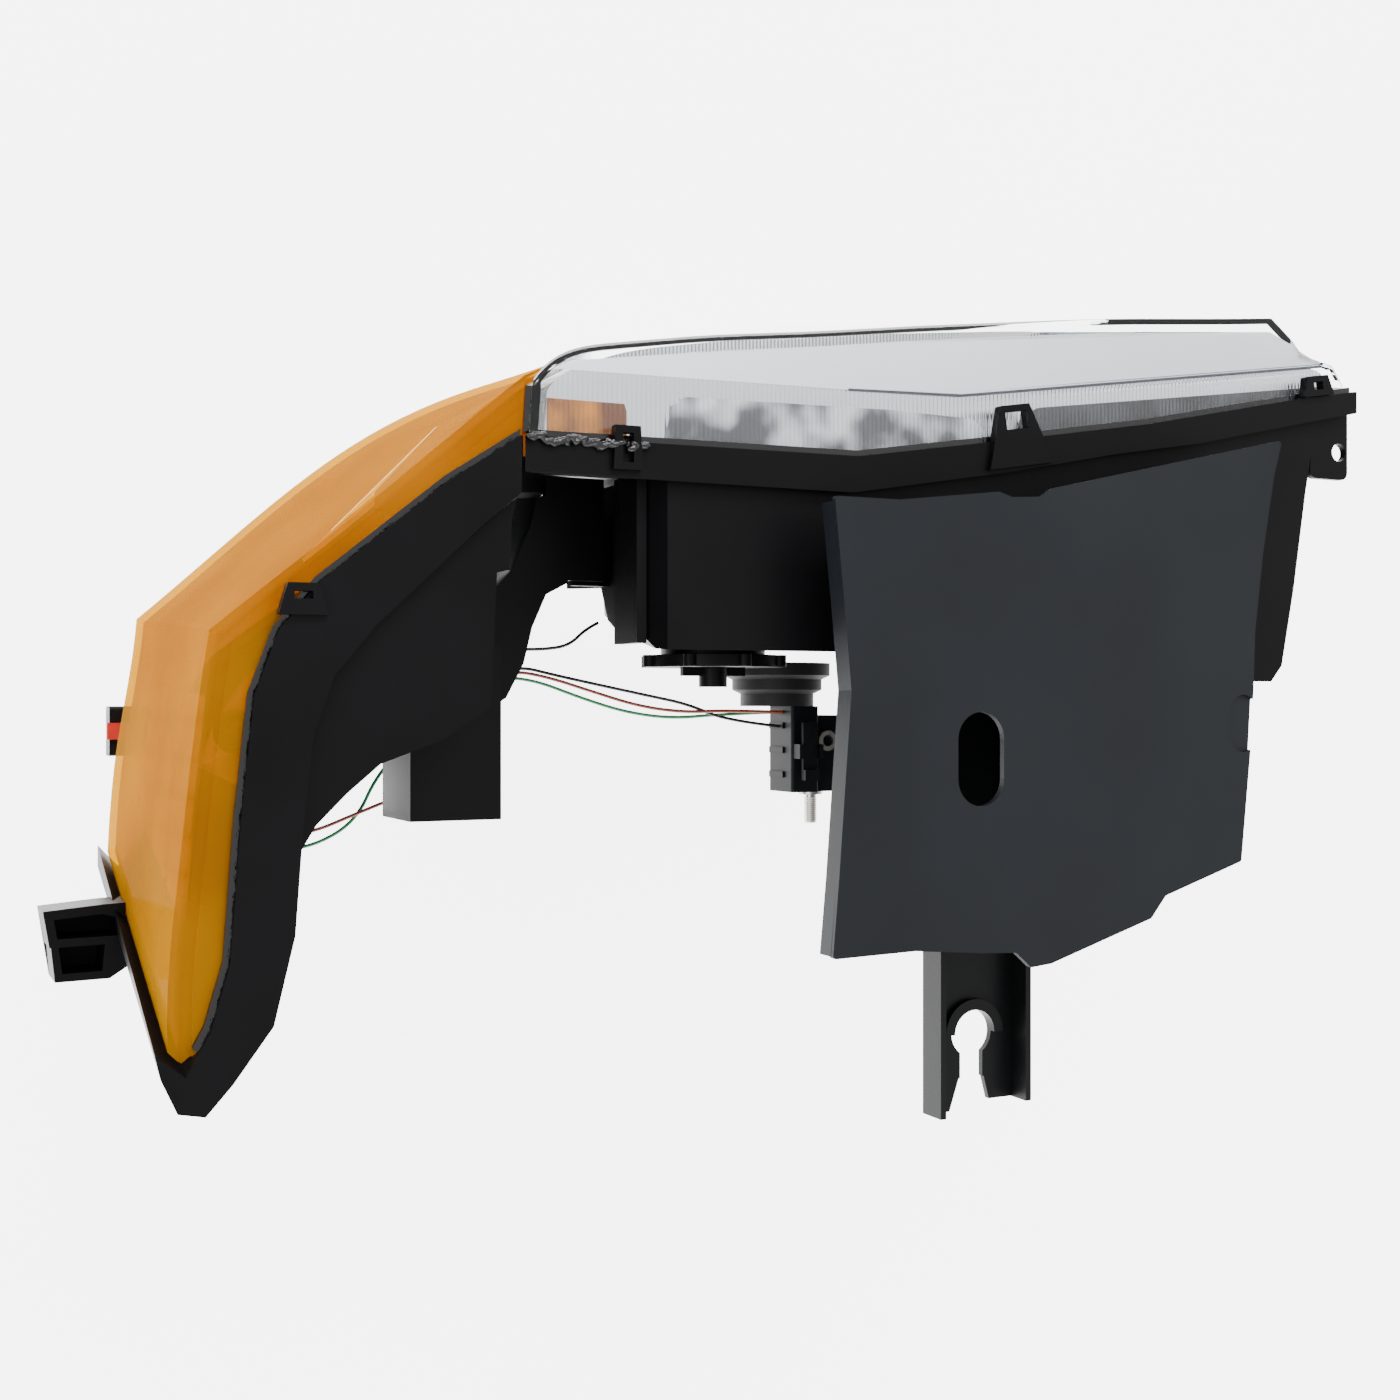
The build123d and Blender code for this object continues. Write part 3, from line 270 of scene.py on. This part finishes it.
def amber_acrylic():
    """Amber acrylic, moulded: a hazy orange body with little gloss, so low angles keep their colour."""
    material, shader = shaded(
        "amber_acrylic", Roughness=0.05, IOR=1.0, Specular_IOR_Level=0.0, Transmission_Weight=0.62,
        Coat_Weight=0.012, Coat_Roughness=0.05,
    )
    place = object_place(material)
    haze = add_node(material, "ShaderNodeTexNoise", None, Vector=place, Scale=1 / (70 * MM), Detail=2.0)
    tint = colour_ramp(material, haze.outputs["Fac"], [(0.35, srgb("#A46E00")), (0.65, srgb("#B27C04"))])
    join(material, tint, shader.inputs["Base Color"])
    return material


def reflex_acrylic():
    """Amber acrylic moulded in rows of small prisms: yellow-orange, with each facet painted from dark shade
    to bright highlight in a ladder.
    """
    material, shader = shaded("amber_reflex_acrylic", Roughness=0.12, IOR=1.45, Transmission_Weight=0.1)
    place = object_place(material)
    rungs = add_node(
        material, "ShaderNodeTexWave", PRISM_RUNGS,
        Vector=place, Scale=WAVE_SCALE / (3.4 * MM),
    )
    ladders = add_node(
        material, "ShaderNodeTexWave", PRISM_LADDERS,
        Vector=place, Scale=WAVE_SCALE / (15 * MM),
    )
    facets = add_node(
        material, "ShaderNodeMath", {"operation": "ADD"}, _0=rungs.outputs["Fac"], _1=ladders.outputs["Fac"]
    )
    # the ramp paints the facets' shade and highlight into the colour, from dark brown to pale yellow
    tint = colour_ramp(
        material, facets.outputs["Value"],
        [(0.3, srgb("#6A2C00")), (0.55, srgb("#F08A00")), (0.9, srgb("#FFC040"))],
    )
    join(material, tint, shader.inputs["Base Color"])
    bump = add_node(
        material, "ShaderNodeBump", None, Height=facets.outputs["Value"], Distance=1.6 * MM, Strength=1.0,
    )
    join(material, bump.outputs["Normal"], shader.inputs["Normal"])
    return material


def aluminised(name, tint="#E6E8EA", roughness=0.07, flute_depth_mm=0.0):
    """Vacuum aluminium on moulded plastic: bright, and softly rippled or finely fluted front to back."""
    material, shader = shaded(name, Base_Color=srgb(tint), Metallic=1.0, Roughness=roughness)
    place = object_place(material)
    if flute_depth_mm:
        flutes = add_node(
            material, "ShaderNodeTexWave", FLUTES,
            Vector=place, Scale=WAVE_SCALE / (FLUTE_PITCH_MM * MM),
        )
        height, distance = flutes.outputs["Fac"], flute_depth_mm * MM
    else:
        ripple = add_node(
            material, "ShaderNodeTexNoise", None, Vector=place, Scale=1 / (18 * MM), Detail=2.0,
        )
        height, distance = ripple.outputs["Fac"], 0.15 * MM
    bump = add_node(material, "ShaderNodeBump", None, Height=height, Distance=distance, Strength=0.8)
    join(material, bump.outputs["Normal"], shader.inputs["Normal"])
    return material


def fluted_polypropylene(name, dark, light, roughness):
    """Moulded plastic in fine flutes, with cloudy patches from dark to light painted in as shade and
    reflection.
    """
    material, shader = shaded(name, Roughness=roughness, IOR=1.48)
    place = object_place(material)
    painted_reflection_clouds = add_node(material, "ShaderNodeTexNoise", None, Vector=place, Scale=1 / (26 * MM), Detail=2.0)
    flutes = add_node(
        material, "ShaderNodeTexWave", FLUTES,
        Vector=place, Scale=WAVE_SCALE / (FLUTE_PITCH_MM * MM),
    )
    # the cloudy dark to light ramp is painted shade and painted reflection, not the plastic's own colour
    tint = colour_ramp(material, painted_reflection_clouds.outputs["Fac"], [(0.42, srgb(dark)), (0.6, srgb(light))])
    join(material, tint, shader.inputs["Base Color"])
    bump = add_node(
        material, "ShaderNodeBump", None, Height=flutes.outputs["Fac"], Distance=0.4 * MM,
        Strength=0.8,
    )
    join(material, bump.outputs["Normal"], shader.inputs["Normal"])
    return material


def zinc_plate():
    """Zinc plated steel with a fine brushed break-up in its gloss."""
    material, shader = shaded("zinc_plated_steel", Base_Color=srgb("#B9B7B0"), Metallic=1.0)
    place = object_place(material)
    scratch = add_node(material, "ShaderNodeTexNoise", None, Vector=place, Scale=1 / (1.5 * MM), Detail=5.0)
    dullness = add_node(
        material, "ShaderNodeMapRange", None, Value=scratch.outputs["Fac"], To_Min=0.22, To_Max=0.42
    )
    join(material, dullness.outputs["Result"], shader.inputs["Roughness"])
    return material


def plain_plastic(name, colour, roughness=0.35):
    """A small moulded part: one colour with a faint mottle and a soft gloss."""
    material, shader = shaded(name, Roughness=roughness, IOR=1.48)
    place = object_place(material)
    mottle = add_node(material, "ShaderNodeTexNoise", None, Vector=place, Scale=1 / (6 * MM), Detail=3.0)
    base = srgb(colour)
    darker = tuple(c * 0.8 for c in base[:3]) + (1.0,)
    tint = colour_ramp(material, mottle.outputs["Fac"], [(0.3, darker), (0.7, base)])
    join(material, tint, shader.inputs["Base Color"])
    return material


def clear_bulb_glass():
    """Quartz glass of a headlamp bulb: clear and sharply glossy."""
    return shaded(
        "quartz_glass", Base_Color=srgb("#FBFDFF"), Roughness=0.01, IOR=1.46, Transmission_Weight=1.0
    )[0]


def amber_bulb_glass():
    """Glass dipped in amber lacquer: glossy and see-through orange."""
    return shaded(
        "amber_dipped_glass", Base_Color=srgb("#FFA030"), Roughness=0.05, IOR=1.5, Transmission_Weight=0.9
    )[0]


def dress_cad():
    """Gives every CAD node its finish."""
    black, nylon, epdm, zinc = polypropylene(), glass_filled_nylon(), rubber(), zinc_plate()
    sheet, coat, bead = shield_sheet(), powder_coat(), butyl()
    clear, amber = polycarbonate(), amber_acrylic()
    fluted = aluminised("fluted_aluminised_bezel", roughness=0.16, flute_depth_mm=0.4)
    bright = aluminised("aluminised_reflector")
    amber_mirror = aluminised("aluminised_turn_reflector", tint="#F0C070", roughness=0.3)
    acetal = plain_plastic("natural_acetal", "#E6E2D6")
    tungsten = plain_plastic("tungsten_wire", "#8A8A88", 0.3)
    finishes = {
        "black_plastic": black,
        "shield_plastic": sheet,
        "clear_polycarbonate": clear,
        "amber_acrylic": amber,
        "sealant": bead,
        "mirror_coating": bright,
        "painted_steel": coat,
        "zinc_steel": zinc,
        "black_rubber": epdm,
        "connector_plastic": nylon,
        "white_nylon": acetal,
        "bulb_glass": clear_bulb_glass(),
        "amber_bulb_glass": amber_bulb_glass(),
        "red_plastic": plain_plastic("red_lock_tab", "#B4201A"),
        "tungsten": tungsten,
        "black_wire_skin": epdm,
        "brown_wire_skin": epdm,
        "green_wire_skin": epdm,
    }
    special = {
        "headlamp_bezel": fluted,
        "turn_signal_reflector": amber_mirror,
        "side_reflex_insert": reflex_acrylic(),
    }
    for part in frame["record"]["subparts"]:
        node = frame["nodes"][part["node"]]
        material = special.get(part["node"], finishes[part["material_slot"]])
        for face_slot in node.material_slots:
            face_slot.material = material
    for name in ("headlamp_lens", "turn_signal_lens", "low_beam_bulb_glass", "high_beam_bulb_glass"):
        frame["nodes"][name].visible_shadow = False  # light reaches what lies behind the glass


# ---------------------------------------------------------------- leads
WIRE_DIAMETER = 0.0016
LEADS = {  # node: (colour, record slot, length in metres, route in millimetres)
    "black_wire": ("#0A0A0C", "black_wire_skin", 0.1606, [
        (275, 140, -92), (304, 137, -94), (322, 129, -99), (340, 125, -105), (363, 120, -110),
        (386, 115, -114),
        (402, 111, -117), (415, 116, -119), (427.4, 108.7, -120),
    ]),
    "black_feed_wire": ("#0A0A0C", "black_wire_skin", 0.0712, [
        (364.6, 90, -110), (371, 93, -110), (379, 101, -111), (391, 103, -113), (404, 103, -115),
        (416, 110, -116),
        (430.4, 108.7, -115),
    ]),
    "brown_wire": ("#8E3A28", "brown_wire_skin", 0.2834, [
        (275, 133, -90), (305, 132, -92), (325, 133, -97), (346, 130, -104), (368, 123, -109),
        (390, 116, -112),
        (408, 113, -114), (424, 122, -112), (438, 146, -109), (456, 168, -108), (482, 178, -110),
        (504, 187, -112),
        (524.36, 189.1, -113),
    ]),
    "green_wire": ("#1F8A55", "green_wire_skin", 0.2873, [
        (275, 133, -95), (306, 134, -98), (328, 136, -104), (350, 133, -110), (372, 126, -114),
        (393, 118, -117),
        (410, 116, -118), (428, 124, -117), (452, 142, -114), (472, 160, -112), (482, 182, -112),
        (502, 193, -114),
        (518, 193, -116), (524.36, 186.1, -117.5),
    ]),
}


def lead(node, colour, route_mm):
    """A thin lead as one smooth curve through its route; it stands for the CAD node of that name."""
    curve = bpy.data.curves.new(f"{node}_skin", "CURVE")
    curve.dimensions = "3D"
    curve.bevel_depth = WIRE_DIAMETER / 2
    curve.bevel_resolution = 4
    curve.use_fill_caps = True
    spline = curve.splines.new("NURBS")
    spline.points.add(len(route_mm) - 1)
    for point, (x, y, z) in zip(spline.points, route_mm):
        point.co = (x * MM, y * MM, z * MM, 1)
    spline.order_u = 3
    spline.use_endpoint_u = True
    spline.resolution_u = 12
    piece = bpy.data.objects.new(f"{node}_skin", curve)
    bpy.context.collection.objects.link(piece)
    curve.materials.append(plain_plastic(f"{node}_pvc", colour, 0.3))
    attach(piece, "root")
    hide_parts(node)


# ---------------------------------------------------------------- fine detail
BEZEL_FACE_MM = -3.0  # height of the bezel's top face
WINDOW_TOP_MM = -2.3
BROW_TOP_MM = -2.4
# heights of the thin sheets of painted shadow along the bezel step
STEP_FOOT_MM, STEP_TOP_MM = -2.5, -2.2
DIFFUSER_FOOT_MM, DIFFUSER_TOP_MM = -2.0, -1.2
SMOOTH_BELOW = math.radians(35)


def finish_piece(name, material):
    """Settles a shaped mesh at the origin, and gives it its finish and its body."""
    piece = bpy.context.object
    bpy.ops.object.transform_apply(location=True, rotation=True, scale=True)
    piece.name = name
    piece.data.name = name
    piece.data.materials.clear()
    piece.data.materials.append(material)
    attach(piece, "root")


def trim_to(corners):
    """Bisects the mesh in edit mode along each side of a convex outline, and drops what lies outside."""
    for (x, y), (next_x, next_y) in zip(corners, corners[1:] + corners[:1]):
        outward = Vector((y - next_y, next_x - x, 0)).normalized()
        bpy.ops.mesh.select_all(action="SELECT")
        bpy.ops.mesh.bisect(
            plane_co=(x * MM, y * MM, 0), plane_no=outward, use_fill=True, clear_outer=True, threshold=1e-6,
        )


def plate(name, material, foot, top, corners):
    """A thin plate between two heights, from its corners in clockwise order seen from above."""
    lows = [min(values) - 1 for values in zip(*corners)] + [foot]
    highs = [max(values) + 1 for values in zip(*corners)] + [top]
    size = [(high - low) * MM for low, high in zip(lows, highs)]
    middle = [(high + low) / 2 * MM for low, high in zip(lows, highs)]
    bpy.ops.object.select_all(action="DESELECT")
    bpy.ops.mesh.primitive_cube_add(size=1, location=middle, scale=size)
    bpy.ops.object.transform_apply(location=True, rotation=True, scale=True)
    bpy.ops.object.mode_set(mode="EDIT")
    trim_to(corners)
    bpy.ops.object.mode_set(mode="OBJECT")
    bpy.ops.object.shade_smooth_by_angle(angle=SMOOTH_BELOW)
    finish_piece(name, material)


def bezel_windows():
    """Three fluted panels let into the top of the bezel along the rim, coloured as painted reflection,
    painted shade and painted amber light.
    """
    # middle window: light grey painted reflection of the bright surround
    light = fluted_polypropylene("painted_reflection_fluted_window", "#3E4044", "#B9BABE", 0.3)
    # inboard window: near-black painted shade
    dark = fluted_polypropylene("painted_shade_fluted_window", "#17181A", "#303135", 0.35)
    # outboard window: amber painted light
    amber_light_paint = fluted_polypropylene("painted_amber_light_window", "#5A2F0A", "#B26E10", 0.35)
    plate("middle_bezel_window", light, BEZEL_FACE_MM, WINDOW_TOP_MM, [
        (218, 9.0), (293, 20.0), (380, 20.5), (376, 3), (370, -1), (268, -3), (224, -2), (217, 3),
    ])
    plate("inboard_bezel_window", dark, BEZEL_FACE_MM, WINDOW_TOP_MM, [
        (10, -28.6), (130, -5.5), (201, 5.5), (196, -6), (186, -10), (10, -33.5),
    ])
    plate("outboard_bezel_window", amber_light_paint, BEZEL_FACE_MM, WINDOW_TOP_MM, [
        (397, 7), (397, 21), (432, 21), (432, 4), (398, 4),
    ])


def bezel_brow():
    """The smooth satin brow along the bezel's front, and thin dark blue sheets of painted shadow where the
    flutes start.
    """
    satin = aluminised("satin_aluminised_brow", tint="#F2F3F6", roughness=0.42)
    shadow = plain_plastic("shadowed_bezel_step", "#1C2430", 0.3)
    plate("bezel_brow", satin, BEZEL_FACE_MM, BROW_TOP_MM, [
        (9, -43.5), (230, -12), (280, -10.5), (430, -8.2), (420, -13), (363, -20.5), (300, -29.5),
        (43, -58.5),
        (18, -49), (10, -46),
    ])
    # dark blue sheets of painted shadow along the step, not parts of their own
    plate("bezel_step_shadow_inboard", shadow, STEP_FOOT_MM, STEP_TOP_MM, [
        (9, -43.2), (230, -11.7), (230, -12.9), (9, -44.4),
    ])
    plate("bezel_step_shadow_outboard", shadow, STEP_FOOT_MM, STEP_TOP_MM, [
        (229.9, -11.7), (290, -10.0), (290, -10.9), (229.9, -12.9),
    ])


def light_box_diffuser():
    """The bright yellow wall of the turn signal's light box, just under the lens."""
    yellow = plain_plastic("yellow_diffuser_plastic", "#FFB400", 0.3)
    plate("turn_signal_diffuser", yellow, DIFFUSER_FOOT_MM, DIFFUSER_TOP_MM, [
        (505, 66.5), (527, 82), (532, 73), (504, 46),
    ])
    plate("turn_signal_diffuser_tip", yellow, DIFFUSER_FOOT_MM, DIFFUSER_TOP_MM, [
        (479, 19), (504.2, 46.2), (531, 72),
    ])


SEALANT_START_MM = (394, 22.8, 9.4)  # outboard of the first snap loop, on the rim
SEALANT_KNOTS, KNOT_STEP_MM = 34, 1.5
SKIN_GRAIN_MM = 0.4


def apply_modifier(kind, settings):
    """Adds a modifier to the active piece and applies it."""
    bpy.ops.object.modifier_add(type=kind)
    modifier = bpy.context.object.modifiers[-1]
    for key, value in settings.items():
        setattr(modifier, key, value)
    bpy.ops.object.modifier_apply(modifier=modifier.name)


def join_pieces(pieces):
    """Makes one mesh of the given pieces; the last one made is the active one."""
    for piece in pieces:
        piece.select_set(True)
    bpy.ops.object.join()


def squeezed_sealant():
    """Sealant pressed out in knots over the rim beside the joint of the two lenses."""
    chance = random.Random(11)
    start_x, start_y, start_z = SEALANT_START_MM
    knots = []
    for step in range(SEALANT_KNOTS):
        x = start_x + step * KNOT_STEP_MM
        y = start_y + 0.8 * math.sin(step * 0.55) + chance.uniform(-1.1, 1.1)
        z = start_z + chance.uniform(-0.9, 1.3)
        bpy.ops.object.select_all(action="DESELECT")
        bpy.ops.mesh.primitive_ico_sphere_add(
            subdivisions=2, radius=chance.uniform(1.5, 2.4) * MM, location=(x * MM, y * MM, z * MM),
            scale=(1.3, 0.8, 0.9), rotation=(0, 0, chance.uniform(-0.7, 0.7)),
        )
        knots.append(bpy.context.object)
    join_pieces(knots)
    bpy.ops.object.transform_apply(location=True, rotation=True, scale=True)
    apply_modifier("REMESH", {"mode": "VOXEL", "voxel_size": SKIN_GRAIN_MM * MM})
    apply_modifier("SMOOTH", {"iterations": 4})
    bpy.ops.object.shade_smooth()
    finish_piece("squeezed_sealant", butyl())


THREAD_RADIUS_MM = 2.85
THREAD_CREST_MM = 0.32
THREAD_TURNS, THREAD_PITCH_MM = 12, 1.0
THREAD_START_MM = 1.4  # from the stud's free end to the first turn


def stud_thread():
    """The rolled thread of the earth stud, as rings at its pitch."""
    low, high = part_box("ground_stud")
    centre_x, _, centre_z = [(a + b) / 2 for a, b in zip(low, high)]
    rings = []
    for turn in range(THREAD_TURNS):
        y = high[1] - (THREAD_START_MM + turn * THREAD_PITCH_MM) * MM
        bpy.ops.object.select_all(action="DESELECT")
        bpy.ops.mesh.primitive_torus_add(
            major_radius=THREAD_RADIUS_MM * MM, minor_radius=THREAD_CREST_MM * MM, major_segments=32,
            minor_segments=6, location=(centre_x, y, centre_z), rotation=(math.pi / 2, 0, 0),
        )
        rings.append(bpy.context.object)
    join_pieces(rings)
    finish_piece("stud_thread", zinc_plate())


make_camera()
for node, (colour, slot, length, route) in LEADS.items():
    lead(node, colour, route)
make_studio()
dress_cad()
bezel_windows()
bezel_brow()
light_box_diffuser()
squeezed_sealant()
stud_thread()
